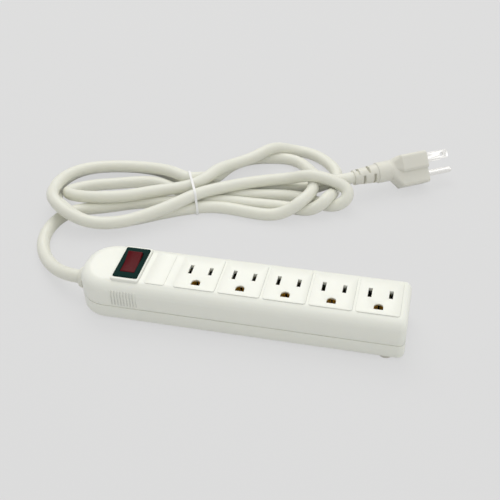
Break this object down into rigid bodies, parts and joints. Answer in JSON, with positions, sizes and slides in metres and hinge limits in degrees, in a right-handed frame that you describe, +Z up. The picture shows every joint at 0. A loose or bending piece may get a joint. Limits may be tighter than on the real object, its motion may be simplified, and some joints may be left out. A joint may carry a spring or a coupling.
{
  "type": "power strip",
  "caption": "Flat earthed power strip with pin-earth outlets, a lit rocker switch, a cord wound into a tied hank and a moulded earthed plug",
  "frame": {"origin": "on the surface under the middle of the housing", "axes": "+X along the strip away from the cord, +Y across it away from the earth holes, +Z up"},
  "size_m": [0.2997, 0.2232, 0.0342],
  "materials": {
    "housing": "smooth warm white moulding",
    "housing_base": "fine satin warm white moulding",
    "cord_rubber": "soft cream jacket",
    "switch_black": "smooth black moulding",
    "rocker": "smooth dark red see-through moulding",
    "lamp_glass": "clear bulb",
    "resistor": "lacquered body",
    "brass": "plain stamped strip",
    "nickel": "bright nickel plate",
    "screws": "zinc plated",
    "feet": "soft pale rubber",
    "tie": "white coated wire",
    "wire_black": "black insulation",
    "wire_white": "white insulation",
    "wire_green": "green insulation"
  },
  "bodies": {
    "strip": {"top_cover": "housing", "base_cover": "housing_base", "feet": "feet", "cover_screws": "screws", "switch_housing": "switch_black", "switch_terminals": "brass", "live_rail": "brass", "neutral_rail": "brass", "earth_rail": "brass", "cord_gland": "cord_rubber", "cord_clamp": "housing_base", "clamp_screws": "screws", "cord_lead": "cord_rubber", "cord_hank": "cord_rubber", "cord_tail": "cord_rubber", "cord_tie": "tie", "line_wire": "wire_black", "load_wire": "wire_black", "neutral_wire": "wire_white", "earth_wire": "wire_green", "lamp_wire": "wire_white", "plug_body": "cord_rubber", "plug_bridge": "housing_base", "plug_live_blade": "nickel", "plug_neutral_blade": "nickel", "plug_earth_pin": "nickel"},
    "rocker": {"switch_rocker": "rocker", "rocker_plunger": "switch_black", "plunger_spring": "screws", "pilot_lamp": "lamp_glass", "lamp_resistor": "resistor"},
    "contact": {"switch_contact": "brass"}
  },
  "joints": [
    {"name": "rocker_tilt", "type": "hinge", "parent": "strip", "child": "rocker", "pos_m": [-0.0705, 0, 0.0285], "axis": [-1, 0, 0], "range_deg": [0, 18]},
    {"name": "contact_rock", "type": "hinge", "parent": "strip", "child": "contact", "pos_m": [-0.0705, 0, 0.0203], "axis": [-1, 0, 0], "range_deg": [-10, 0]}
  ],
  "couplings": [
    {"joint": "contact_rock", "follows": "rocker_tilt", "ratio": -0.5555}
  ]
}
